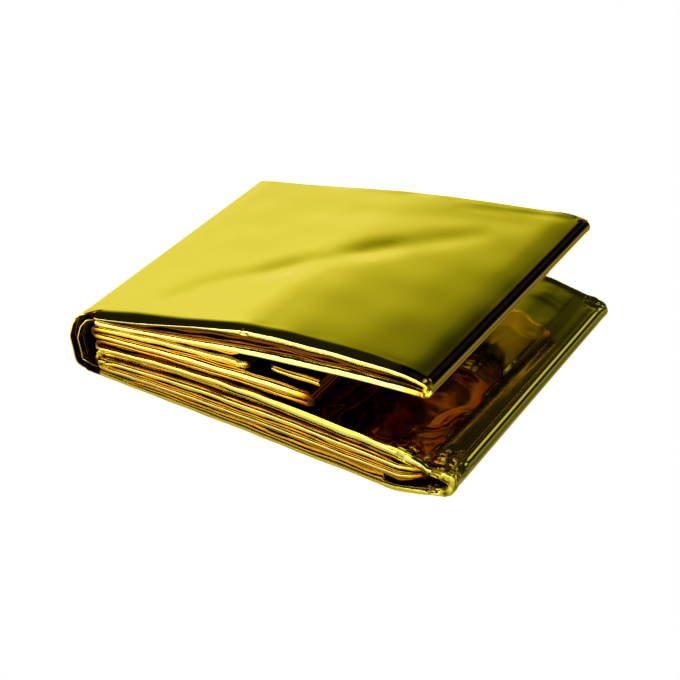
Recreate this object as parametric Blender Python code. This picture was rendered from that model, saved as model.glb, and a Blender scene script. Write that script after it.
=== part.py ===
"""A metallised-film blanket folded into a flat pad whose upper leaf stands open.

The film is one long strip that goes back and forth. Each leaf of the pad is a bundle of
many plies of the real film, so it is far thicker than one ply. In order, the strip runs:
free leaf, second leaf, pocket leaf, panel leaf, round the outer edge, floor leaf, up the
spine, cover leaf, round the open edge, lining leaf, down inside the spine, lower core,
upper core, tucked leaf.

+X points from the spine to the open side, +Z is up, and the origin is on the floor under
the middle of the footprint. Sizes are in millimetres until the mesh is made.
"""

from collections import namedtuple

import bmesh
import bpy
import numpy as np

MM = 0.001
WELD = 1e-6

# The pad's depth from front to back, the thickness of a bundle where it is thinnest, and
# the middle of the footprint in the X used by the tables below.
DEPTH = 98.4
THIN = 1.8
FOOTPRINT_MIDDLE_X = 1.35

# Stations along each stretch of the strip, points across its depth, points round an edge.
COLUMNS = 10
EDGE_POINTS = 3
LEAF_STATIONS = 8
COVER_STATIONS = 16
SPINE_STATIONS = 15
OUTER_EDGE_STATIONS = 14
HAIRPIN_STATIONS = 5

# Where the leaves leave the spine, how far apart its two wraps are, and where the outer
# edge starts to turn down.
SPINE_X = -54.0
SPINE_PITCH = 2.3
OUTER_EDGE_X = 56.0

# A folded line starts and ends with guide points this far along its neighbours, so that
# it leaves them smoothly. The cover leaf rises this much over one guide length.
GUIDE = 5.0
COVER_RISE_OVER_GUIDE = 1.1

# How far each way the corners of a line are rounded off, and in how many samples.
LEAF_ROUNDING = 9.0
COVER_EDGE_ROUNDING = 4.0
SPINE_ROUNDING = 1.7
OUTER_EDGE_ROUNDING = 1.6
ROUNDING_SAMPLES = 9

# Along the back the stack is lower beside the spine and higher at the outer edge, and
# every leaf reaches a little further out.
BACK_SHARE_X = (SPINE_X, -26.0, OUTER_EDGE_X)
BACK_SHARE = (0.94, 0.94, 1.05)
BACK_STRETCH = 1.011

# The middle of the film in the stack at four places along X, the thickness of the bundle
# where it is fullest, and how far its front edge stands back from the pad's.
Leaf = namedtuple("Leaf", "at_spine at_quarter at_middle at_open full inset")
LEAF_X = (SPINE_X, -26.0, 4.0, 40.0)
FREE = Leaf(17.1, 21.2, 24.4, 26.4, 2.2, 0.3)
SECOND = Leaf(14.75, 18.1, 20.4, 22.2, 2.7, 0.0)
POCKET = Leaf(12.45, 15.6, 17.5, 18.6, 2.0, 1.0)
PANEL = Leaf(10.15, 13.1, 14.5, 14.0, 2.7, 0.0)
TUCKED = Leaf(7.85, 10.6, 11.8, 11.2, 1.9, 1.6)
UPPER_CORE = Leaf(5.55, 8.1, 9.1, 8.7, 2.4, 0.3)
LOWER_CORE = Leaf(3.25, 5.2, 5.9, 6.1, 2.4, 0.0)
FLOOR_FULL = 2.3

# A leaf is thin beside the spine, fullest in the middle and thin again at the open side.
FULLNESS_X = (SPINE_X, 0.0, 30.0, OUTER_EDGE_X)
FULLNESS = (0.0, 1.0, 1.0, 0.0)

# The cover leaf and the lining leaf under it: the middle of the film along each edge, and
# the thickness of each bundle.
Raised = namedtuple(
    "Raised", "x cover_front cover_back cover_full lining_front lining_back lining_full"
)
RAISED = (
    Raised(SPINE_X, 21.7, 20.45, 1.8, 19.4, 18.3, 1.8),
    Raised(-40.0, 24.9, 22.9, 2.6, 21.8, 20.2, 2.0),
    Raised(-20.0, 30.3, 27.0, 3.2, 25.6, 23.7, 2.3),
    Raised(-1.0, 35.5, 30.9, 3.6, 29.1, 27.2, 2.5),
    Raised(12.0, 37.5, 33.2, 3.6, 31.0, 29.5, 2.5),
    Raised(34.0, 39.4, 36.7, 3.5, 34.1, 33.0, 2.5),
    Raised(49.0, 40.0, 39.0, 3.2, 35.7, 35.4, 2.5),
    Raised(OUTER_EDGE_X, 39.9, 40.1, 2.5, 36.2, 36.5, 2.4),
)

# The outer wrap of the spine, from the floor leaf up to the cover leaf: the share of the
# spine's height at each knuckle, and how far out it stands.
Knuckle = namedtuple("Knuckle", "height_share out")
SPINE = (
    Knuckle(0.00, 5.2),
    Knuckle(0.06, 8.9),
    Knuckle(0.26, 9.4),
    Knuckle(0.49, 10.2),
    Knuckle(0.75, 8.3),
    Knuckle(0.95, 5.3),
)

# The outer edge, from the panel leaf round and down to the floor leaf: the middle of the
# film along the front edge and the back edge.
Turn = namedtuple("Turn", "x front back")
OUTER_EDGE = (
    Turn(61.2, 13.2, 14.2),
    Turn(64.9, 11.5, 12.4),
    Turn(65.9, 8.6, 9.6),
    Turn(64.0, 5.9, 7.5),
    Turn(56.0, 3.1, 4.0),
    Turn(48.5, 1.1, 1.3),
)
FLOOR_LEAF_END_X = 44.0

# Where each fold inside the pad turns, and where the two free ends stop.
SECOND_TURN_X = -54.2
PANEL_TURN_X = -53.4
CORE_TURN_X = -49.0
POCKET_TURN_X = 19.4
CORE_OUTER_TURN_X = 55.0
OPEN_EDGE_TURN_X = 55.4
FREE_END_X = 22.6
TUCKED_END_X = 46.0

# The free leaf's front edge steps back, which leaves a notch under the lining.
NOTCH_X = (-3.5, -1.5, 1.0, 3.0)
NOTCH_INSET = (0.0, 0.9, 3.4, 4.2)

# Soft hollows pressed into the cover leaf: two ends, reach to each side, and depth.
Hollow = namedtuple("Hollow", "x1 y1 x2 y2 reach depth")
HOLLOWS = (
    Hollow(-30.0, -18.0, 26.0, 26.0, 8.0, 0.8),
    Hollow(-8.0, 30.0, 40.0, 37.0, 8.0, 0.4),
)

# How the thickness falls off round a free end, and how far along each step stands.
END_SHARE = (0.9, 0.55)
END_REACH = (0.45, 0.85)

FILM_COLOUR = (0.83, 0.62, 0.09, 1.0)
FILM_ROUGHNESS = 0.16
SHARP_ANGLE = 50


def softened(x, xs, zs, reach):
    """A line through the given corners, with each corner rounded over this reach."""
    xs = np.concatenate([[2 * xs[0] - xs[1]], xs, [2 * xs[-1] - xs[-2]]])
    zs = np.concatenate([[2 * zs[0] - zs[1]], zs, [2 * zs[-1] - zs[-2]]])
    steps = np.linspace(-reach, reach, ROUNDING_SAMPLES)
    return np.mean([np.interp(x + step, xs, zs) for step in steps], axis=0)


def stations(front_x, front_z, back_x, back_z, inset=0.0, thickness=THIN):
    """Rows of the strip's middle along each edge, its front inset and its thickness."""
    columns = np.broadcast_arrays(front_x, front_z, back_x, back_z, inset, thickness)
    return np.column_stack(columns).astype(float)


def leaf_thickness(x, full):
    """How thick a leaf is at each place along X."""
    return THIN + (full - THIN) * np.interp(x, FULLNESS_X, FULLNESS)


def leaf(row, x_from, x_to, more_x=(), more_inset=(0.0,)):
    """One leaf of the stack between two places along X."""
    x = np.append(np.linspace(x_from, x_to, LEAF_STATIONS), more_x)
    x = np.sort(x)[:: 1 if x_to > x_from else -1]
    front = softened(x, LEAF_X, row[: len(LEAF_X)], LEAF_ROUNDING)
    back = THIN / 2 + (front - THIN / 2) * np.interp(x, BACK_SHARE_X, BACK_SHARE)
    inset = row.inset + np.interp(x, more_x or (0.0,), more_inset)
    return stations(x, front, x, back, inset, leaf_thickness(x, row.full))


def floor_leaf():
    """The leaf that lies on the floor, flat along its underside."""
    x = np.linspace(FLOOR_LEAF_END_X, SPINE_X, LEAF_STATIONS)
    middle = (FLOOR_LEAF_END_X + SPINE_X) / 2
    swell = np.interp(x, (SPINE_X, middle, FLOOR_LEAF_END_X), (0.0, 1.0, 0.0))
    thickness = THIN + (FLOOR_FULL - THIN) * swell
    return stations(x, thickness / 2, x, thickness / 2, 0.0, thickness)


def raised_leaf(name, x_from, x_to):
    """The cover leaf or the lining leaf."""
    x = np.linspace(x_from, x_to, COVER_STATIONS)
    xs = [row.x for row in RAISED]
    fronts = [getattr(row, name + "_front") for row in RAISED]
    backs = [getattr(row, name + "_back") for row in RAISED]
    fulls = [getattr(row, name + "_full") for row in RAISED]
    front = softened(x, xs, fronts, COVER_EDGE_ROUNDING)
    back = softened(x, xs, backs, LEAF_ROUNDING)
    thickness = np.interp(x, xs, fulls)
    return stations(x, front, x, back, 0.0, thickness)


def hairpin(before, after):
    """A half-round fold from the end of one leaf to the start of the next."""
    start = before[-1]
    end = after[0]
    side = np.sign(start[0] - before[-2][0])
    at = np.linspace(0, np.pi, HAIRPIN_STATIONS + 2)[1:-1, None]
    rows = (start + end) / 2 + (start - end) / 2 * np.cos(at)
    rows[:, [0]] += side * abs(start[1] - end[1]) / 2 * np.sin(at)
    rows[:, [2]] += side * abs(start[3] - end[3]) / 2 * np.sin(at)
    return rows


def rounded_line(corners, count, reach):
    """Points evenly along a line of corners, between its second and its last but one."""
    x, z = np.array(corners, float).T
    along = np.concatenate([[0], np.cumsum(np.hypot(np.diff(x), np.diff(z)))])
    at = np.linspace(along[1], along[-2], count + 2)[1:-1]
    return np.column_stack([softened(at, along, x, reach), softened(at, along, z, reach)])


def spine_wrap(height, pitch):
    """One edge of the spine, going up, moved in from the outer wrap by this pitch."""
    low = THIN / 2
    corners = [(SPINE_X + GUIDE, low), (SPINE_X, low)]
    corners += [(SPINE_X - k.out, low + (height - low) * k.height_share) for k in SPINE]
    corners += [(SPINE_X, height), (SPINE_X + GUIDE, height + COVER_RISE_OVER_GUIDE)]
    line = rounded_line(corners, SPINE_STATIONS, SPINE_ROUNDING)
    along = np.gradient(line, axis=0)
    along /= np.hypot(along[:, 0], along[:, 1])[:, None]
    return line + pitch * np.column_stack([along[:, 1], -along[:, 0]])


def outer_edge(panel, name):
    """One edge of the pad's open side, going down."""
    column = 1 if name == "front" else 3
    height = panel[-1][column]
    slope = (panel[-1][column] - panel[-2][column]) / (panel[-1][0] - panel[-2][0])
    corners = [(OUTER_EDGE_X - GUIDE, height - GUIDE * slope), (OUTER_EDGE_X, height)]
    corners += [(turn.x, getattr(turn, name)) for turn in OUTER_EDGE]
    corners += [(FLOOR_LEAF_END_X, THIN / 2), (FLOOR_LEAF_END_X - GUIDE, THIN / 2)]
    return rounded_line(corners, OUTER_EDGE_STATIONS, OUTER_EDGE_ROUNDING)


def free_end(last, inner):
    """The steps that round off a free end of the strip."""
    outward = np.sign(last[0] - inner[0]) * last[5] / 2
    rows = []
    for reach, share in zip(END_REACH, END_SHARE):
        row = last.copy()
        row[[0, 2]] += outward * reach
        row[5] *= share
        rows.append(row)
    return np.array(rows)


def strip_stations():
    """Every station of the strip in order, and the first and last of the cover leaf."""
    free = leaf(FREE, FREE_END_X, SECOND_TURN_X, NOTCH_X, NOTCH_INSET)
    second = leaf(SECOND, SECOND_TURN_X, POCKET_TURN_X)
    pocket = leaf(POCKET, POCKET_TURN_X, PANEL_TURN_X)
    panel = leaf(PANEL, PANEL_TURN_X, OUTER_EDGE_X)
    edge = stations(*outer_edge(panel, "front").T, *outer_edge(panel, "back").T)
    floor = floor_leaf()
    cover = raised_leaf("cover", SPINE_X, OPEN_EDGE_TURN_X)
    lining = raised_leaf("lining", OPEN_EDGE_TURN_X, SPINE_X)
    first = RAISED[0]
    outer_spine = stations(
        *spine_wrap(first.cover_front, 0.0).T, *spine_wrap(first.cover_back, 0.0).T
    )
    inner_spine = stations(
        *spine_wrap(first.cover_front, SPINE_PITCH).T,
        *spine_wrap(first.cover_back, first.cover_back - first.lining_back).T,
    )[::-1]
    lower_core = leaf(LOWER_CORE, SPINE_X, CORE_OUTER_TURN_X)
    upper_core = leaf(UPPER_CORE, CORE_OUTER_TURN_X, CORE_TURN_X)
    tucked = leaf(TUCKED, CORE_TURN_X, TUCKED_END_X)
    order = [
        free_end(free[0], free[1])[::-1],
        free,
        hairpin(free, second),
        second,
        hairpin(second, pocket),
        pocket,
        hairpin(pocket, panel),
        panel,
        edge,
        floor,
        outer_spine,
        cover,
        hairpin(cover, lining),
        lining,
        inner_spine,
        lower_core,
        hairpin(lower_core, upper_core),
        upper_core,
        hairpin(upper_core, tucked),
        tucked,
        free_end(tucked[-1], tucked[-2]),
    ]
    starts = np.cumsum([0] + [len(part) for part in order])
    cover_at = next(i for i, part in enumerate(order) if part is cover)
    return np.concatenate(order), starts[cover_at], starts[cover_at + 1]


def hollow_depth(x, y):
    """How far the cover leaf is pressed down at each place."""
    total = np.zeros_like(x)
    for row in HOLLOWS:
        run = np.array([row.x2 - row.x1, row.y2 - row.y1])
        share = ((x - row.x1) * run[0] + (y - row.y1) * run[1]) / run.dot(run)
        share = np.clip(share, 0, 1)
        away = np.hypot(x - row.x1 - share * run[0], y - row.y1 - share * run[1])
        total += row.depth * np.exp(-((away / row.reach) ** 2))
    return total


def strip_points():
    """Rings of points round the strip's cross section, one ring for each station."""
    rows, cover_first, cover_last = strip_stations()
    rows[:, 2] = SPINE_X + (rows[:, 2] - SPINE_X) * BACK_STRETCH
    across = np.linspace(0, 1, COLUMNS)
    y_front = -DEPTH / 2 + rows[:, [5]] / 2 + rows[:, [4]]
    y_back = DEPTH / 2 - rows[:, [5]] / 2
    y = y_front + (y_back - y_front) * across
    x = rows[:, [0]] + (rows[:, [2]] - rows[:, [0]]) * across
    z = rows[:, [1]] + (rows[:, [3]] - rows[:, [1]]) * across
    cover = slice(cover_first, cover_last)
    z[cover] -= hollow_depth(x[cover], y[cover])
    along_x = np.gradient(x, axis=0)
    along_z = np.gradient(z, axis=0)
    length = np.hypot(along_x, along_z)
    normal = np.stack([-along_z / length, np.zeros_like(x), along_x / length], axis=-1)
    middle = np.stack([x, y, z], axis=-1)
    half = rows[:, 5][:, None, None] / 2
    upper = middle + normal * half
    lower = middle - normal * half
    turn = np.linspace(np.pi / 2, -np.pi / 2, EDGE_POINTS + 2)[1:-1]
    sideways = np.array([0.0, 1.0, 0.0])
    back_edge = (
        middle[:, -1:]
        + normal[:, -1:] * half * np.sin(turn)[:, None]
        + sideways * half * np.cos(turn)[:, None]
    )
    front_edge = (
        middle[:, :1]
        - normal[:, :1] * half * np.sin(turn)[:, None]
        - sideways * half * np.cos(turn)[:, None]
    )
    ring = np.concatenate([upper, back_edge, lower[:, ::-1], front_edge], axis=1)
    ring[..., 0] -= FOOTPRINT_MIDDLE_X
    return ring * MM


def build_strip():
    """The whole folded strip as one closed mesh."""
    rings = strip_points()
    count, around = rings.shape[:2]
    rings = np.concatenate([rings, rings[:, :1]], axis=1)
    mesh = bpy.data.meshes.new("foil_blanket")
    bm = bmesh.new()
    bmesh.ops.create_grid(bm, x_segments=around, y_segments=count - 1, size=0.5)
    bm.verts.ensure_lookup_table()
    for vertex, place in zip(bm.verts, rings.reshape(-1, 3)):
        vertex.co = place
    bmesh.ops.remove_doubles(bm, verts=bm.verts, dist=WELD)
    open_edges = [edge for edge in bm.edges if edge.is_boundary]
    bmesh.ops.holes_fill(bm, edges=open_edges, sides=0)
    bmesh.ops.recalc_face_normals(bm, faces=bm.faces)
    bm.to_mesh(mesh)
    bm.free()
    blanket = bpy.data.objects.new("foil_blanket", mesh)
    bpy.context.scene.collection.objects.link(blanket)
    return blanket


def gold_film():
    """Gold-coloured metallised film."""
    material = bpy.data.materials.new("gold_film")
    material.use_nodes = True
    shader = material.node_tree.nodes["Principled BSDF"]
    shader.inputs["Base Color"].default_value = FILM_COLOUR
    shader.inputs["Metallic"].default_value = 1.0
    shader.inputs["Roughness"].default_value = FILM_ROUGHNESS
    return material


for item in list(bpy.data.objects):
    bpy.data.objects.remove(item, do_unlink=True)

foil_blanket = build_strip()
foil_blanket.data.materials.append(gold_film())
foil_blanket.data.shade_smooth()
foil_blanket.data.set_sharp_from_angle(angle=np.radians(SHARP_ANGLE))
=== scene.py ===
"""Looks of a folded blanket of gold metallised film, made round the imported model.

One strip of film goes back and forth: free leaf, second leaf, pocket leaf, panel leaf, round
the outer edge, floor leaf, up the spine, cover leaf, round the open edge, lining leaf, down
inside the spine, lower core, upper core, tucked leaf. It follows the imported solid's folds,
and adds the plies along its front and back edges, the creases and the crumpled corners.

+X points from the spine to the open side and +Z is up. Sizes are in millimetres until a
mesh is made.
"""

from collections import namedtuple

import bmesh
import bpy
import numpy as np
from mathutils import Matrix, Vector, noise


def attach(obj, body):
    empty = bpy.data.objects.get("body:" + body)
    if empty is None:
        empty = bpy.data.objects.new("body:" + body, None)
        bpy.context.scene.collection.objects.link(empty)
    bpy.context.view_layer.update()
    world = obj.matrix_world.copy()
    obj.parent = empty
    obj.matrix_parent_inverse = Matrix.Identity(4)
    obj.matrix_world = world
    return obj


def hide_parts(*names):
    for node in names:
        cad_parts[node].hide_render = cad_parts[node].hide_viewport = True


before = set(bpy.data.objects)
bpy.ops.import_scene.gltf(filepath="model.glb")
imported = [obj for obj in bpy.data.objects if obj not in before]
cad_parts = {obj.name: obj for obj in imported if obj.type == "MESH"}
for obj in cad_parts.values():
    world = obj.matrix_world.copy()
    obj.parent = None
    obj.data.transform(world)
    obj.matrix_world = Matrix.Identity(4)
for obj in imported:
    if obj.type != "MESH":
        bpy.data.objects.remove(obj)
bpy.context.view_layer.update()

MM = 0.001
WELD = 1e-7


def table(kind, *rows):
    """Rows of one kind."""
    return tuple(kind(*row) for row in rows)


# --- Sizes of the folded pad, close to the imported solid's ---

DEPTH = 98.4
THIN = 1.8
FOOTPRINT_MIDDLE_X = 1.35
SPINE_X = -54.0
SPINE_PITCH = 2.3
INNER_WRAP_INSET = 0.5
OUTER_EDGE_X = 56.0
GUIDE = 5.0
COVER_RISE_OVER_GUIDE = 1.1
LEAF_ROUNDING = 9.0
COVER_EDGE_ROUNDING = 4.0
SPINE_ROUNDING = 0.7
OUTER_EDGE_ROUNDING = 0.9
ROUNDING_SAMPLES = 9
BACK_SHARE_X = (SPINE_X, -26.0, OUTER_EDGE_X)
BACK_SHARE = (0.94, 0.94, 1.05)
BACK_STRETCH = 1.011
FLOOR_FULL = 2.3
FLOOR_LEAF_END_X = 44.0
FULLNESS_X = (SPINE_X, 0.0, 30.0, OUTER_EDGE_X)
FULLNESS = (0.0, 1.0, 1.0, 0.0)

# Where each fold turns, and where the two free ends stop.
SECOND_TURN_X = -54.2
PANEL_TURN_X = -53.4
CORE_TURN_X = -54.0
POCKET_TURN_X = 19.4
CORE_OUTER_TURN_X = 55.0
OPEN_EDGE_TURN_X = 55.4
FREE_END_X = 22.6
TUCKED_END_X = 46.0

# The leaves of the stack: where each starts and ends, the middle of the film at four places
# along X, the bundle's full thickness, and how far its front edge stands back.
Leaf = namedtuple("Leaf", "x_from x_to heights full inset")
LEAF_X = (SPINE_X, -26.0, 4.0, 40.0)
LEAVES = {
    "free": Leaf(FREE_END_X, SECOND_TURN_X, (17.1, 21.2, 24.4, 26.4), 2.2, 0.3),
    "second": Leaf(SECOND_TURN_X, POCKET_TURN_X, (14.75, 18.1, 20.4, 22.2), 2.7, 0),
    "pocket": Leaf(POCKET_TURN_X, PANEL_TURN_X, (12.45, 15.6, 17.5, 18.6), 2, 1),
    "panel": Leaf(PANEL_TURN_X, OUTER_EDGE_X, (10.15, 13.1, 14.5, 14), 2.7, 0),
    "lower_core": Leaf(SPINE_X, CORE_OUTER_TURN_X, (3.25, 5.2, 5.9, 6.1), 2.4, 0),
    "upper_core": Leaf(CORE_OUTER_TURN_X, CORE_TURN_X, (5.55, 8.1, 9.1, 8.7), 2.4, 0.3),
    "tucked": Leaf(CORE_TURN_X, TUCKED_END_X, (7.85, 10.6, 11.8, 11.2), 1.9, 1.6),
}

# The cover leaf and the lining leaf under it, along the front edge and the back edge.
Raised = namedtuple(
    "Raised", "x cover_front cover_back cover_full lining_front lining_back lining_full"
)
RAISED = table(
    Raised,
    (SPINE_X, 21.7, 20.45, 1.8, 19.4, 18.3, 1.8),
    (-40, 25.15, 23.1, 2.6, 21.8, 20.2, 2),
    (-20, 30.3, 27, 3.2, 25.6, 23.7, 2.3),
    (-1, 35.5, 30.9, 3.6, 29.1, 27.2, 2.5),
    (12, 37.5, 33.2, 3.6, 31, 29.5, 2.5),
    (34, 39.4, 36.7, 3.5, 34.1, 33, 2.5),
    (49, 40, 39, 3.2, 35.7, 35.4, 2.5),
    (OUTER_EDGE_X, 39.9, 40.1, 2.5, 36.2, 36.5, 2.4),
)

# The spine's outer wrap: the share of its height at each knuckle, and how far out it is.
Knuckle = namedtuple("Knuckle", "height_share out")
SPINE = table(
    Knuckle,
    (0, 5.2),
    (0.06, 8.9),
    (0.26, 9.4),
    (0.49, 10.2),
    (0.75, 8.3),
    (0.93, 5.3),
)

# The outer edge, from the panel leaf down to the floor leaf.
Turn = namedtuple("Turn", "x front back")
OUTER_EDGE = table(
    Turn,
    (61.8, 13.2, 14.2),
    (64.9, 12.4, 13.3),
    (65.9, 8.6, 9.6),
    (64.6, 5.9, 7.5),
    (56, 3.1, 4),
    (48.5, 1.1, 1.3),
)

# How far the front edge stands back at the notch in the free leaf and at the core's ends, and
# how a free end is rounded off.
NOTCH = ((-1.5, 0.0), (0.3, 0.6), (1.2, 5.5), (5.4, 5.5), (6.6, 1.8))
# Painted shade: the free leaf's edge at the notch and the second leaf's face over it are painted
# near black, within these reaches of the notch's middle.
NOTCH_MIDDLE_X = 3.1
NOTCH_REACH = 3.4
NOTCH_SHADE = 8.0
CORE_ENDS = ((49.0, 0.0), (53.0, 1.4), (55.0, 2.6))
END_SHARE = (0.97, 0.85, 0.6, 0.3)
END_REACH = (0.25, 0.55, 0.8, 0.97)

# --- Fineness of the film's mesh ---

# The stretches in order along the strip, with the stations of each.
STATIONS = {
    "free": 40, "second": 36, "pocket": 34, "panel": 64, "edge": 36, "floor": 36,
    "outer_spine": 34, "cover": 92, "open_turn": 12, "lining": 60, "inner_spine": 28,
    "lower_core": 44, "upper_core": 44, "tucked": 38,
}
# The stretches that end in a hairpin into the next one.
TURNED = ("free", "second", "pocket", "lower_core", "upper_core")
HAIRPIN_STATIONS = 7
STATION_GAP = 0.3
# Stations at the end of a leaf over which its edge turns plain and takes painted shade, of a wrap
# over which its edge leaves a leaf's, of the outer edge over which its painted shade fades out,
# and of the open edge's bands of painted shade.
FADE_STATIONS = 3
BLEND_STATIONS = 4
PALING_STATIONS = 10
DARK_STATIONS = 4
# The stations of the spine over which its back edge takes the shape of the cover's.
BACK_CORNER = (12, 22)

# Columns across the depth: steps in from each edge, then this many evenly in between.
EDGE_STEPS = (0.0, 0.45, 1.0, 1.7, 2.7, 4.2, 6.6)
MIDDLE_COLUMNS = 31

# --- Plies along the edges ---

# Every edge has a main roll, two plies above it and two below it. Each has a height and
# stands back from the front. "Above" is the side that faces out where the strip runs round
# the pad, so on a leaf that runs towards the spine it is the underside.
Edge = namedtuple(
    "Edge",
    "x roll_up roll_down ply_1 back_1 ply_2 back_2 ply_3 back_3 ply_4 back_4 back",
    defaults=(0.0,),
)
NO_PLY = 0.03
PLAIN = 0.9


def edges(*rows):
    """A table of edges along X, in which a ply of no height keeps the least height."""
    least = [NO_PLY if name.startswith("ply") else -np.inf for name in Edge._fields]
    return tuple(Edge(*map(max, row, least)) for row in rows)


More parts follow.
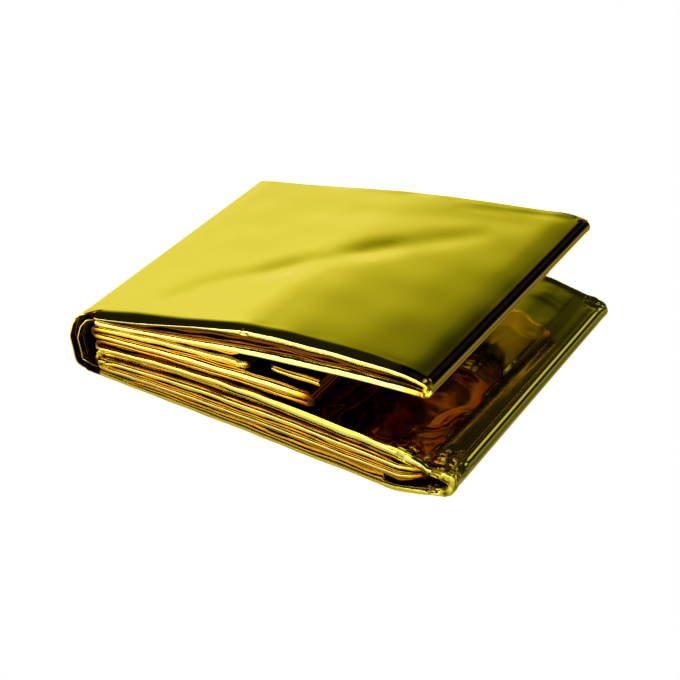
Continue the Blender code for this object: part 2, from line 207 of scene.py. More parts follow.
EDGES = {
    "cover": edges(
        (-54, 0.9, 0.8, 0, 0.9, 0, 0.7, 0.15, 0.5, 0.15, 0.7),
        (-40, 1.3, 0.95, 0, 0.9, 0, 0.7, 0.55, 0.6, 0.5, 0.9),
        (-28, 1.5, 0.5, 0, 0.9, 0, 0.7, 0.9, 0.9, 0.85, 1.2),
        (-18, 1.6, 0.15, 0, 0.9, 0, 0.7, 1.15, 0.9, 1.15, 1.2),
        (-8, 1.75, 0.7, 0, 0.9, 0, 0.7, 1.15, 0.9, 1.15, 1.2),
        (0, 1.8, 1.75, 0, 0.9, 0, 0.7, 0.9, 0.9, 1, 1.3),
        (20, 1.8, 1.95, 0, 0.9, 0, 0.7, 0.8, 0.9, 0.8, 1.4),
        (40, 1.7, 1.8, 0, 0.9, 0, 0.7, 0.55, 0.8, 0.45, 1.2),
        (56, 1.3, 1.3, 0, 0.9, 0, 0.7, 0, 0.7, 0, 0.9),
    ),
    # The lining runs towards the spine, so plies 1 and 2 hang under it and 3 and 4 are on top.
    "lining": edges(
        (-54, 0.8, 0.8, 0.1, 0.6, 0.15, 0.5, 0.1, 0.4, 0, 0.6),
        (-36, 0.8, 0.6, 0.3, 0.8, 0.35, 0.5, 0.2, 0.5, 0.2, 0.7),
        (-18, 0.9, 0.6, 0.6, 0.9, 0.6, 0.5, 0.5, 0.7, 0.45, 1.2),
        (-5, 1, 0.9, 0.75, 1, 0.75, 0.5, 0.6, 0.9, 0.6, 1.5),
        (-1.5, 1.1, 1, 0, 1.4, 0, 0.9, 0.6, 0.9, 0.6, 1.5),
        (12, 1.25, 1.25, 0, 1.4, 0, 0.9, 0.55, 0.9, 0.5, 1.5),
        (36, 1.25, 1.25, 0, 1.4, 0, 0.9, 0.35, 0.8, 0.3, 1.3),
        (56, 1.2, 1.2, 0, 0.9, 0, 0.7, 0, 0.7, 0, 0.9),
    ),
    # The free leaf also runs towards the spine.
    "free": edges(
        (-54, 0.2, 0.8, 0.3, 0.5, 0.3, 0.3, 0, 0.5, 0, 0.6),
        (-30, 0.1, 1, 0.6, 0.6, 0.6, 0.3, 0, 0.5, 0, 0.6),
        (-5, 0, 1.1, 0.6, 0.7, 0.7, 0.3, 0, 0.5, 0, 0.6),
        (4, 0.1, 0.5, 0.5, 0.5, 0.6, 1.2, 0.5, 0.4, 0, 0.6),
        (24, 0.1, 0.4, 0.5, 0.5, 0.6, 1.2, 0.5, 0.4, 0, 0.6),
    ),
    "second": edges(
        (-54, 0.5, 0.5, 0, 0.5, 0.4, 0.5, 0, 0.4, 0, 0.5),
        (-30, 0.8, 0.75, 0.45, 0.7, 0.35, 0.5, 0.35, 0.5, 0.3, 0.8),
        (-5, 1, 1.1, 0.55, 0.8, 0.5, 0.5, 0.45, 0.6, 0.15, 0.8),
        (15, 1.1, 1.2, 0.25, 0.8, 0.3, 0.6, 0.4, 0.6, 0, 0.8),
        (20, 1.1, 1.1, 0, 0.8, 0, 0.6, 0, 0.5, 0, 0.7),
    ),
    "pocket": edges(
        (-54, 0.6, 0.6, 0.2, 0.5, 0.2, 0.4, 0.25, 0.4, 0.25, 0.5),
        (-30, 0.45, 0.45, 0.35, 0.5, 0.4, 0.3, 0.35, 0.3, 0.3, 0.5),
        (10, 0.45, 0.45, 0.35, 0.5, 0.35, 0.3, 0.35, 0.3, 0.3, 0.5),
        (19, 0.9, 0.9, 0, 0.5, 0, 0.4, 0, 0.4, 0, 0.5),
    ),
    "panel": edges(
        (-54, 0.7, 0.7, 0, 0.4, 0, 0.4, 0.3, 0.5, 0, 0.5),
        (-35, 1.1, 0.7, 0, 0.4, 0, 0.4, 0.45, 0.5, 0.35, 0.8),
        (-10, 1.4, 0.9, 0, 0.4, 0.15, 0.4, 0.5, 0.5, 0.35, 0.8),
        (8, 1.4, 1.6, 0, 0.4, 0.15, 0.5, 0.3, 0.5, 0, 0.8),
        (30, 1.35, 2.4, 0, 0.4, 0.1, 0.6, 0.2, 0.6, 0, 0.8),
        (50, 1.3, 2.7, 0, 0.4, 0, 0.6, 0.15, 0.6, 0, 0.8),
        (56, 1.1, 2.3, 0, 0.4, 0, 0.5, 0.1, 0.6, 0, 0.8),
    ),
    "tucked": edges(
        (-50, 0.4, 0.4, 0.2, 0.4, 0.3, 0.3, 0.5, 0.3, 0.3, 0.5),
        (-20, 0.3, 0.3, 0.25, 0.5, 0.3, 0.3, 0.4, 0.3, 0.4, 0.5),
    ),
    "upper_core": edges(
        (-49, 0.6, 0.6, 0.25, 0.5, 0.3, 0.4, 0.3, 0.4, 0, 0.5),
        (-30, 0.2, 0.7, 0.5, 0.6, 0.55, 0.3, 0.6, 0.5, 0, 0.5),
        (10, 0.2, 0.8, 0.55, 0.6, 0.7, 0.3, 0.6, 0.5, 0, 0.5),
        (42, 0.2, 0.8, 0.5, 0.6, 0.6, 0.3, 0.5, 0.5, 0, 0.5),
        (55, 0.7, 0.7, 0, 0.5, 0, 0.4, 0, 0.4, 0, 0.5),
    ),
    "lower_core": edges(
        (-54, 0.5, 0.5, 0.2, 0.4, 0.3, 0.4, 0.4, 0.3, 0.2, 0.5),
        (-30, 0.2, 0.7, 0.55, 0.6, 0.6, 0.3, 0.6, 0.4, 0.55, 0.7),
        (10, 0.2, 0.6, 0.65, 0.6, 0.65, 0.3, 0.7, 0.4, 0.75, 0.7),
        (42, 0.2, 0.6, 0.55, 0.6, 0.6, 0.3, 0.85, 0.4, 0.9, 0.7),
        (52, 0.2, 0.6, 0.4, 0.6, 0.4, 0.3, 1.1, 0.4, 1, 0.7),
        (55, 0.7, 0.7, 0, 0.5, 0, 0.4, 0, 0.4, 0, 0.5),
    ),
    # The floor leaf runs towards the spine too: plies 1 and 2 are nearest the floor.
    "floor": edges(
        (-54, 0.5, 0.5, 0, 0.4, 0.35, 0.3, 0.3, 0.4, 0, 0.5),
        (-20, 0.2, 0.5, 0.3, 0.4, 0.4, 0.2, 0.9, 0.4, 0.85, 0.8),
        (20, 0.2, 0.5, 0.3, 0.4, 0.4, 0.2, 1.05, 0.4, 1.1, 0.8),
        (40, 0.3, 0.5, 0.2, 0.4, 0.4, 0.2, 1.3, 0.4, 1.6, 0.8),
        (47, 0.5, 0.5, 0.2, 0.4, 0.3, 0.2, 1.4, 0.4, 1.5, 0.8),
        (50, 0.5, 0.5, 0, 0.4, 0.3, 0.3, 0.5, 0.4, 0.4, 0.6),
    ),
    # Round the spine only the outermost and the innermost skin come to the front, as rims.
    "outer_spine": edges((0, 0.3, 0.7, 0.45, 0, 0, 2.4, 0, 2.4, 0, 2.4, 2.6)),
    "inner_spine": edges((0, 0.6, 0.2, 0, 2.4, 0, 2.4, 0, 2.4, 0.28, 0.2, 2.6)),
}

# The soft shoulder that leads from a leaf's top into its front edge: how deep it is, and the
# radius of the thin roll that it ends in.
Crown = namedtuple("Crown", "x depth line")
CROWNS = {
    "cover": table(
        Crown,
        (-54, 3.6, 0.3),
        (-40, 4, 0.35),
        (-28, 3.6, 0.38),
        (-18, 3.2, 0.42),
        (-8, 3, 0.9),
        (0, 2.9, 2.3),
        (20, 3.1, 2.5),
        (40, 3.1, 2.4),
        (56, 2.2, 1.9),
    ),
    "panel": table(
        Crown,
        (-54, 0.22, 1),
        (20, 0.28, 2.3),
        (45, 0.35, 3.2),
        (56, 0.8, 2.6),
    ),
}
CROWN_POWER = 1.9
# How deep the rolls and plies are for their height: under 1 they have flat fronts.
ROLL_BLUFF = 0.30
PLY_BLUFF = 0.20
UNDERCUT = 2.0
# How far a crease between two plies goes in past them: a share of the ply, and this more.
CREASE_SHARE = 0.5
CREASE_MORE = 0.05

# How uneven an edge's sizes are: the share, the shortest wave, and the least size.
LONGEST_WAVE = 60.0
EDGE_UNEVENNESS = {
    "ply": (0.25, 12.0, NO_PLY),
    "back_": (0.30, 10.0, 0.1),
    "roll": (0.04, 14.0, 0.0),
}
# How far a leaf strays up and down, and in and out, and how long its calm ends are.
STRAY = 0.10
STRAY_WAVE = 9.0
INSET_WAVE = 12.0
CALM_END = 6.0
RAISED_STRAY = 0.06
RAISED_WAVE = 14.0

# How each kind of surface is tinted, as painted light on the film's own gold: 0 is the film's own
# lemon gold, -0.2 a pale painted highlight, and 0.45 amber, 0.8 brown, 1 near black and 1.25 a
# dim olive are painted shade, deepest inside the folds.
OUTSIDE = 0.0
ROLL_TINT = 0.06
# Painted shade: faces inside the pad and creases between plies are painted brown; folds, free
# ends, the notch and dark bands near black.
INSIDE_SHADE = 0.82
CREASE_SHADE = 0.80
TURN_SHADE = 1.0
# Painted dark reflection: the cover's shoulder is painted near black between these places along
# X.
SHOULDER_SHADE_X = (45.0, 50.5)
OPEN_EDGE_TINT = 0.10
# Painted shade in the wedge under the cover: the panel's top and the lining's underside are
# painted darker towards the wedge's bottom, and the lining's underside near black or dim olive
# towards the back.
WEDGE_X = (24.0, 32.0, 39.0, 44.0, 56.0)
WEDGE_SHADE = (0.85, 0.56, 0.38, 0.34, 0.32)
LINING_WEDGE_SHADE = (0.85, 0.50, 0.34, 0.50, 0.90)
LINING_BACK_SHADE = (1.0, 1.05, 1.06, 1.06, 1.01)
Tints = namedtuple("Tints", "above roll below")
PLAIN_TINTS = Tints(ROLL_TINT, ROLL_TINT, ROLL_TINT)
# Painted shade: near the folds at a leaf's ends the edge is painted dark brown.
FOLD_SHADE = Tints(0.92, 0.92, 0.92)
# Each stretch's painted tints above its roll, on its roll and below it: a roll below 0 carries a
# painted highlight, the plies and faces above 0 painted shade.
PAINTED_TINTS = {
    "free": Tints(0.55, -0.08, 0.62),
    "second": Tints(0.55, -0.08, 0.58),
    "pocket": Tints(0.60, 0.60, 0.60),
    "panel": Tints(OUTSIDE, -0.10, 0.55),
    "floor": Tints(0.35, 0.05, 0.40),
    "outer_spine": Tints(0.10, 1.0, 1.0),
    "cover": Tints(OUTSIDE, -0.10, 0.95),
    "lining": Tints(0.62, -0.10, 0.90),
    "inner_spine": Tints(1.0, 1.0, 0.15),
    "lower_core": Tints(0.50, -0.10, 0.72),
    "upper_core": Tints(0.50, -0.10, 0.50),
    "tucked": Tints(0.58, 0.58, 0.58),
}

# --- Random draws ---

SEED = 27
WAVES = 7
WAVE_SHARES = (0.5, 1.0)
WAVES_PEAK = 1.2
rng = np.random.default_rng(SEED)
noise.seed_set(SEED)


def wander(x, shortest):
    """A smooth random line along x, between about -1 and 1, with waves down to this length."""
    lengths = np.geomspace(LONGEST_WAVE, shortest, WAVES)
    turns = rng.uniform(0, 2 * np.pi, WAVES)
    shares = rng.uniform(*WAVE_SHARES, WAVES)
    total = sum(
        share * np.sin(2 * np.pi * x / length + turn)
        for length, turn, share in zip(lengths, turns, shares)
    )
    return total / np.sqrt((shares**2).sum()) / WAVES_PEAK


# --- The strip's stations ---

# A station holds its place on the front edge and the back edge, then its edge's outline,
# point by point from the top round to the bottom, then its faces' tints, which carry painted
# shade.
PLY_POINTS = 4
ROLL_POINTS = 11
OUTLINE_POINTS = 4 * PLY_POINTS + ROLL_POINTS + 4
UPPER_POINTS = 2 * PLY_POINTS + 2 + ROLL_POINTS // 2
FIELDS = ("x_front", "z_front", "x_back", "z_back", "inset", "half", "upper_tint", "lower_tint")
OUTLINE = slice(len(FIELDS), len(FIELDS) + 3 * OUTLINE_POINTS)


def column(rows, name):
    """One named column of an array of stations."""
    return rows[:, FIELDS.index(name)]


def outlines(rows):
    """The heights, the depths and the tints along each station's edge."""
    return rows[:, OUTLINE].reshape(len(rows), 3, OUTLINE_POINTS).transpose(1, 0, 2)


def softened(x, xs, zs, reach):
    """A line through the given corners, with each corner rounded over this reach."""
    xs = np.concatenate([[2 * xs[0] - xs[1]], xs, [2 * xs[-1] - xs[-2]]])
    zs = np.concatenate([[2 * zs[0] - zs[1]], zs, [2 * zs[-1] - zs[-2]]])
    steps = np.linspace(-reach, reach, ROUNDING_SAMPLES)
    return np.mean([np.interp(x + step, xs, zs) for step in steps], axis=0)


def edge_sizes(x, name):
    """A leaf's edge sizes at each place along X, with a little unevenness."""
    xs, *columns = zip(*EDGES[name])
    sizes = {field: np.interp(x, xs, values) for field, values in zip(Edge._fields[1:], columns)}
    for field in sizes:
        for kind, (share, shortest, least) in EDGE_UNEVENNESS.items():
            if field.startswith(kind):
                uneven = sizes[field] * (1 + share * wander(x, shortest))
                sizes[field] = np.maximum(uneven, least)
    return sizes


def edge_outline(sizes, tints, crowns=None):
    """An edge's outline at each station, as one row of heights, depths and tints each."""
    heights = []
    depths = []
    shades = []

    def lip(top, bottom, back, tint, points=PLY_POINTS, bluff=PLY_BLUFF):
        middle = (top + bottom) / 2
        half = (top - bottom) / 2
        for angle in np.linspace(np.pi / 2, -np.pi / 2, points + 2)[1:-1]:
            slope = bluff if angle > 0 else bluff * UNDERCUT
            heights.append(middle + half * np.sin(angle))
            depths.append(back + slope * half * (1 - np.cos(angle)))
            shades.append(tint)

    # A crease between plies, painted brown as shade.
    def crease(at, back, ply):
        heights.append(at)
        depths.append(back + ply * CREASE_SHARE + CREASE_MORE)
        shades.append(CREASE_SHADE)

    size = {name: np.atleast_1d(value).astype(float) for name, value in sizes.items()}
    plies = [size[f"ply_{number}"] for number in (1, 2, 3, 4)]
    backs = [size[f"back_{number}"] for number in (1, 2, 3, 4)]
    behind = (np.maximum(*backs[:2]), backs[1], backs[2], np.maximum(*backs[2:]))
    level = size["roll_up"] + plies[1] + plies[0]
    for ply, back, deeper in zip(plies[:2], backs[:2], behind[:2]):
        lip(level, level - ply, back, tints.above)
        level = level - ply
        crease(level, deeper, ply)
    lip(level, -size["roll_down"], size["back"], tints.roll, ROLL_POINTS, ROLL_BLUFF)
    level = -size["roll_down"]
    for ply, back, deeper in zip(plies[2:], backs[2:], behind[2:]):
        crease(level, deeper, ply)
        lip(level, level - ply, back, tints.below)
        level = level - ply
    outline = np.array([np.broadcast_arrays(*rows) for rows in (heights, depths)])
    outline = np.concatenate([outline, np.ones_like(outline[:1]) * np.array(shades)[:, None]])
    if crowns is not None:
        depth, line = crowns
        middle = line - size["roll_down"]
        inward = np.linspace(1, 0, UPPER_POINTS + 1)[:, None]
        drop = (size["roll_up"] - middle) * (1 - inward) ** CROWN_POWER
        outline[0, : UPPER_POINTS + 1] = size["roll_up"] - drop
        outline[1, : UPPER_POINTS + 1] = depth * inward
        angle = np.linspace(0, -np.pi / 2, ROLL_POINTS // 2 + 2)[1:-1, None]
        lower = slice(UPPER_POINTS + 1, UPPER_POINTS + 1 + ROLL_POINTS // 2)
        outline[0, lower] = middle + line * np.sin(angle)
        outline[1, lower] = ROLL_BLUFF * UNDERCUT * line * (1 - np.cos(angle))
        outline[2, :UPPER_POINTS] = tints.above
    return outline.transpose(2, 0, 1).reshape(-1, 3 * OUTLINE_POINTS)


def crown_sizes(x, name):
    """The depth of a leaf's soft shoulder and the radius of its roll at each place along X."""
    if name not in CROWNS:
        return None
    xs, depths, lines = zip(*CROWNS[name])
    return np.interp(x, xs, depths), np.interp(x, xs, lines)


def stations(front_x, front_z, back_x, back_z, inset, half, tints, outline):
    """Rows of the strip, one for each station."""
    first = np.broadcast_arrays(front_x, front_z, back_x, back_z, inset, half, *tints)
    count = len(first[0])
    outline = np.broadcast_to(outline, (count, 3 * OUTLINE_POINTS))
    return np.column_stack([*first, outline]).astype(float)


def plain_outline(half, tints=PLAIN_TINTS):
    """The outline of a plain half-round edge."""
    plain = Edge(0, half, half, NO_PLY, 0.5, NO_PLY, 0.4, NO_PLY, 0.4, NO_PLY, 0.5)
    return edge_outline(plain._asdict(), tints)


def leaf(name, insets=((0.0, 0.0),)):
    """One leaf of the stack."""
    row = LEAVES[name]
    x_from, x_to = row.x_from, row.x_to
    x = np.linspace(x_from, x_to, STATIONS[name])
    steps = [place for place, _ in insets if min(x_from, x_to) < place < max(x_from, x_to)]
    x = np.sort(np.concatenate([x, steps]))[:: int(np.sign(x_to - x_from))]
    x = x[np.concatenate([[True], np.abs(np.diff(x)) > STATION_GAP])]
    front = softened(x, LEAF_X, row.heights, LEAF_ROUNDING)
    back = THIN / 2 + (front - THIN / 2) * np.interp(x, BACK_SHARE_X, BACK_SHARE)
    inset = row.inset + np.interp(x, *zip(*insets))
    thickness = THIN + (row.full - THIN) * np.interp(x, FULLNESS_X, FULLNESS)
    ends = np.clip(np.minimum(np.abs(x - x_from), np.abs(x - x_to)) / CALM_END, 0, 1)
    front = front + STRAY * ends * wander(x, STRAY_WAVE)
    back = back + STRAY * ends * wander(x, STRAY_WAVE)
    inset = inset + STRAY * ends * (wander(x, INSET_WAVE) + 1)
    outline = edge_outline(edge_sizes(x, name), PAINTED_TINTS[name], crown_sizes(x, name))
    return stations(x, front, x, back, inset, thickness / 2, (INSIDE_SHADE, INSIDE_SHADE), outline)


def floor_leaf():
    """The leaf that lies on the floor, flat along its underside."""
    x = np.linspace(FLOOR_LEAF_END_X, SPINE_X, STATIONS["floor"])
    middle = (FLOOR_LEAF_END_X + SPINE_X) / 2
    swell = np.interp(x, (SPINE_X, middle, FLOOR_LEAF_END_X), (0.0, 1.0, 0.0))
    half = (THIN + (FLOOR_FULL - THIN) * swell) / 2
    sizes = edge_sizes(x, "floor")
    below = sizes["roll_up"] + sizes["ply_1"] + sizes["ply_2"]
    for name in ("roll_up", "ply_1", "ply_2"):
        sizes[name] = sizes[name] * np.minimum(1, half / below)
    inset = STRAY * (wander(x, INSET_WAVE) + 1)
    outline = edge_outline(sizes, PAINTED_TINTS["floor"])
    return stations(x, half, x, half, inset, half, (OUTSIDE, INSIDE_SHADE), outline)


def raised_leaf(name, x_from, x_to, faces):
    """The cover leaf or the lining leaf."""
    x = np.linspace(x_from, x_to, STATIONS[name])
    xs = [row.x for row in RAISED]
    fronts, backs, fulls = (
        [getattr(row, name + part) for row in RAISED] for part in ("_front", "_back", "_full")
    )
    front = softened(x, xs, fronts, COVER_EDGE_ROUNDING)
    back = softened(x, xs, backs, LEAF_ROUNDING)
    half = softened(x, xs, fulls, COVER_EDGE_ROUNDING) / 2
    inset = RAISED_STRAY * (wander(x, RAISED_WAVE) + 1)
    outline = edge_outline(edge_sizes(x, name), PAINTED_TINTS[name], crown_sizes(x, name))
    return stations(x, front, x, back, inset, half, faces, outline)


def hairpin(before, after, count=HAIRPIN_STATIONS, tint=TURN_SHADE):
    """A half-round fold from the end of one leaf to the start of the next, its edge painted
    towards the given tint at the middle of the fold: near black painted shade unless another is
    given.
    """
    start = before[-1]
    end = after[0]
    side = np.sign(start[0] - before[-2][0])
    at = np.linspace(0, np.pi, count + 2)[1:-1, None]
    rows = (start + end) / 2 + (start - end) / 2 * np.cos(at)
    rows[:, [0]] += side * abs(start[1] - end[1]) / 2 * np.sin(at)
    rows[:, [2]] += side * abs(start[3] - end[3]) / 2 * np.sin(at)
    # Painted shade: the edge's tint turns to the given one towards the middle of the fold.
    shade = outlines(rows)[2]
    shade += (tint - shade) * np.sin(at) ** 0.5
    return rows


def rounded_line(corners, count, reach):
    """Points evenly along a line of corners, between its second and its last but one."""
    x, z = np.array(corners, float).T
    along = np.concatenate([[0], np.cumsum(np.hypot(np.diff(x), np.diff(z)))])
    at = np.linspace(along[1], along[-2], count + 2)[1:-1]
    return np.column_stack([softened(at, along, x, reach), softened(at, along, z, reach)])


def spine_wrap(height, pitch, count):
    """One edge of the spine, going up, moved in from the outer wrap by this pitch."""
    low = THIN / 2
    corners = [(SPINE_X + GUIDE, low), (SPINE_X, low)]
    corners += [(SPINE_X - k.out, low + (height - low) * k.height_share) for k in SPINE]
    corners += [(SPINE_X, height), (SPINE_X + GUIDE, height + COVER_RISE_OVER_GUIDE)]
    line = rounded_line(corners, count, SPINE_ROUNDING)
    along = np.gradient(line, axis=0)
    along /= np.hypot(along[:, 0], along[:, 1])[:, None]
    return line + pitch * np.column_stack([along[:, 1], -along[:, 0]])


def outer_edge(panel, name):
    """One edge of the pad's open side, going down."""
    at = FIELDS.index("z_front" if name == "front" else "z_back")
    height = panel[-1][at]
    slope = (panel[-1][at] - panel[-4][at]) / (panel[-1][0] - panel[-4][0])
    corners = [(OUTER_EDGE_X - GUIDE, height - GUIDE * slope), (OUTER_EDGE_X, height)]
    corners += [(turn.x, getattr(turn, name)) for turn in OUTER_EDGE]
    corners += [(FLOOR_LEAF_END_X, THIN / 2), (FLOOR_LEAF_END_X - GUIDE, THIN / 2)]
    return rounded_line(corners, STATIONS["edge"], OUTER_EDGE_ROUNDING)


def free_end(last, inner):
    """The steps that round off a free end of the strip, their edges painted near black as shade.
    """
    half = column(last[None], "half")[0]
    outward = np.sign(last[0] - inner[0]) * half
    rows = []
    for reach, share in zip(END_REACH, END_SHARE):
        row = last.copy()
        row[[0, 2]] += outward * reach
        column(row[None], "half")[:] *= share
        outlines(row[None])[:2] *= share
        outlines(row[None])[2] = TURN_SHADE
        rows.append(row)
    return np.array(rows)


def fade_edge(rows):
    """Blends the first few stations' edges into a plain half-round edge, painted dark brown as
    shade near the fold.
    """
    for index in range(FADE_STATIONS):
        share = (index + 0.5) / FADE_STATIONS
        plain = plain_outline(column(rows, "half")[index], FOLD_SHADE)[0]
        rows[index, OUTLINE] = plain + (rows[index, OUTLINE] - plain) * share


def wedge_painted_shade(rows, tints):
    """Paints shade on a face inside the wedge, darker towards the bottom of the wedge."""
    x = column(rows, "x_front")
    column(rows, "upper_tint")[:] = np.interp(x, WEDGE_X, tints)


def spine(name, start, end, pitches, inset, tint, way=1):
    """A wrap round the spine, whose edges come out of those of the leaves at its two ends."""
    heights = (RAISED[0].cover_front, RAISED[0].cover_back)
    sides = [
        spine_wrap(height, pitch, STATIONS[name])[::way].T
        for height, pitch in zip(heights, pitches)
    ]
    outline = edge_outline(EDGES[name][0]._asdict(), PAINTED_TINTS[name])
    rows = stations(*sides[0], *sides[1], inset, PLAIN, (tint, INSIDE_SHADE), outline)
    for index, share in enumerate(np.linspace(0, 1, BLEND_STATIONS + 2)[1:-1]):
        rows[index, OUTLINE] = start[OUTLINE] + share * (outline[0] - start[OUTLINE])
        rows[-1 - index, OUTLINE] = end[OUTLINE] + share * (outline[0] - end[OUTLINE])
    return rows


def edge_stretch(panel):
    """The stretch round the outer edge, from the panel leaf down to the floor leaf."""
    front, back = (outer_edge(panel, name).T for name in ("front", "back"))
    swell = np.linspace(1, 0, STATIONS["edge"])[:, None] ** 2
    plain = plain_outline(PLAIN)
    outline = plain + swell * (panel[-1:, OUTLINE] - plain)
    rows = stations(*front, *back, 0.0, PLAIN, (OUTSIDE, INSIDE_SHADE), outline)
    # The wedge's painted shade fades out over the first stations of the outer edge.
    paling = np.linspace(WEDGE_SHADE[-1], OUTSIDE, PALING_STATIONS + 1)[1:]
    column(rows, "upper_tint")[:PALING_STATIONS] = paling
    return rows


def strip_stations():
    """Every station of the strip in order, with where each named stretch starts and ends."""
    made = {
        "free": leaf("free", NOTCH),
        "second": leaf("second"),
        "pocket": leaf("pocket"),
        "panel": leaf("panel"),
        "floor": floor_leaf(),
        "cover": raised_leaf("cover", SPINE_X, OPEN_EDGE_TURN_X, (OUTSIDE, INSIDE_SHADE)),
        "lining": raised_leaf("lining", OPEN_EDGE_TURN_X, SPINE_X, (INSIDE_SHADE, INSIDE_SHADE)),
        "lower_core": leaf("lower_core", CORE_ENDS),
        "upper_core": leaf("upper_core", CORE_ENDS),
        "tucked": leaf("tucked"),
    }
    free, second, _, panel, floor, cover, lining, lower_core, _, tucked = made.values()
    # Painted shade inside the wedge, on the panel's top and the lining's underside.
    wedge_painted_shade(panel, WEDGE_SHADE)
    wedge_painted_shade(lining, LINING_WEDGE_SHADE)
    # Painted shade: the notch's recess is painted near black, and so is the second leaf's face
    # over it.
    notched = np.abs(column(free, "x_front") - NOTCH_MIDDLE_X) < NOTCH_REACH
    outlines(free)[2, notched] = TURN_SHADE
    over = np.abs(column(second, "x_front") - NOTCH_MIDDLE_X) < NOTCH_SHADE
    column(second, "upper_tint")[over] = TURN_SHADE
    # Painted dark reflection: the cover's shoulder darkens to near black towards the open edge.
    corner = np.interp(column(cover, "x_front"), SHOULDER_SHADE_X, (0, 1))
    shoulder = outlines(cover)[2, :, :UPPER_POINTS]
    shoulder += (TURN_SHADE - shoulder) * corner[:, None]
    for name in ("second", "pocket", "lower_core", "upper_core", "tucked", "lining"):
        fade_edge(made[name])
    for name in TURNED:
        fade_edge(made[name][::-1])

    made["edge"] = edge_stretch(panel)
    outer_spine = spine("outer_spine", floor[-1], cover[0], (0.0, 0.0), 0.0, OUTSIDE)
    # Painted shade: the outer wrap's edge keeps its near black painted shade all round the spine.
    tints = outlines(outer_spine)[2]
    tints[:] = tints[BLEND_STATIONS]
    made["outer_spine"] = outer_spine
    pitches = (SPINE_PITCH, RAISED[0].cover_back - RAISED[0].lining_back)
    made["inner_spine"] = spine(
        "inner_spine", lining[-1], lower_core[0], pitches, INNER_WRAP_INSET, INSIDE_SHADE, way=-1
    )
    open_turn = hairpin(cover, lining, STATIONS["open_turn"], OPEN_EDGE_TINT)
    # Painted shade: the open edge's fold is painted near black in a band at each end.
    column(open_turn, "upper_tint")[:DARK_STATIONS] = TURN_SHADE
    column(open_turn, "upper_tint")[-DARK_STATIONS:] = TURN_SHADE
    made["open_turn"] = open_turn

    strip = [free_end(*free[:2])[::-1]]
    spans = {}
    names = list(STATIONS)
    for name, following in zip(names, [*names[1:], None]):
        start = sum(map(len, strip))
        spans[name] = slice(start, start + len(made[name]))
        strip.append(made[name])
        if name in TURNED:
            strip.append(hairpin(made[name], made[following]))
    strip.append(free_end(*tucked[:-3:-1]))
    return np.concatenate(strip), spans


# --- Relief of the cover leaf and the panel leaf ---

# Soft troughs pressed into the cover: two ends, reach to each side, and depth. The front
# right corner sinks a little, and the leaf rolls over towards the open edge.
Trough = namedtuple("Trough", "x1 y1 x2 y2 reach depth")
TROUGHS = table(
    Trough,
    (-30, -27, -10, -12, 5.5, 0.26),
    (-13, -14, 12, 9, 5.5, 0.38),
    (8, 5, 33, 25, 5.5, 0.36),
    (-8, 29, 42, 37, 6, 0.2),
    (-34, -34, -12, -30, 4, 0.12),
    (20, 41, 52, 44, 1.6, 0.1),
)
CREASES = table(
    Trough,
    (-6, 4.5, 12, 3, 0.9, 0.1),
    (-6, 2.2, 10, 1.6, 0.8, 0.07),
    (24, 42, 54, 45, 0.8, 0.08),
)
ROLL_OVER_X = 49.0
ROLL_OVER_DROP = 0.75
ROLL_OVER_MOST = 1.2
# Broad waves over the cover: the length, the way each runs, and where it starts.
Wave = namedtuple("Wave", "length way phase")
COVER_WAVES = (Wave(34, 0.6, 0.3), Wave(23, 2.2, 1.1), Wave(17, 1.4, 2.0))
COVER_UNEVENNESS = 0.06
SPINE_CALM = 12.0
# The panel leaf bends down towards the outer edge, from a wavy line.
PANEL_ROLL_X = 48.5
PANEL_ROLL_SLOPE = 0.155
PANEL_ROLL_SOFT = 1.4
PANEL_ROLL_REACH = 13.5
PANEL_WAVE_REACH = 3.0
Wiggle = namedtuple("Wiggle", "size length phase")
PANEL_WIGGLES = (Wiggle(1.3, 6.1, 0.6), Wiggle(0.7, 2.3, 2.0))


def eased(share):
    """1 at an edge, falling smoothly to 0 at one reach in from it."""
    share = np.clip(share, 0, 1)
    return 1 - share * share * (3 - 2 * share)


def trough_depth(x, y, rows):
    """How far the given troughs press down at each place."""
    total = np.zeros_like(x)
    for row in rows:
        run = np.array([row.x2 - row.x1, row.y2 - row.y1], float)
        share = ((x - row.x1) * run[0] + (y - row.y1) * run[1]) / run.dot(run)
        share = np.clip(share, 0, 1)
        away = np.hypot(x - row.x1 - share * run[0], y - row.y1 - share * run[1])
        total += row.depth * np.exp(-((away / row.reach) ** 2))
    return total


def cover_relief(x, y):
    """The height added to the cover leaf at each place."""
    rolled = (x - ROLL_OVER_X) / (OUTER_EDGE_X - ROLL_OVER_X)
    rolled = np.clip(rolled, 0, ROLL_OVER_MOST)
    height = -trough_depth(x, y, TROUGHS) - trough_depth(x, y, CREASES)
    for wave in COVER_WAVES:
        along = x * np.cos(wave.way) + y * np.sin(wave.way)
        swing = np.sin(2 * np.pi * along / wave.length + wave.phase)
        height += COVER_UNEVENNESS / len(COVER_WAVES) * swing
    height *= 1 - eased((x - SPINE_X) / SPINE_CALM)
    return height - ROLL_OVER_DROP * rolled**2


def panel_relief(x, y):
    """The height added to the panel leaf at each place."""
    wave = sum(row.size * np.sin(y / row.length + row.phase) for row in PANEL_WIGGLES)
    wave = wave * np.exp(-np.maximum(x - PANEL_ROLL_X, 0) / PANEL_WAVE_REACH)
    start = PANEL_ROLL_X + wave
    past = np.clip(x - start, 0, PANEL_ROLL_REACH)
    return -PANEL_ROLL_SLOPE * past**2 / (past + PANEL_ROLL_SOFT)


# --- The film's mesh ---

# The panel's painted shade fades towards the back and the outside, and the panel ripples most
# near the front.
PANEL_FADE_Y = (-25.0, 5.0, 40.0)
PANEL_FADE = (0.0, 0.85, 1.0)
PANEL_FADE_X = (28.0, 40.0)
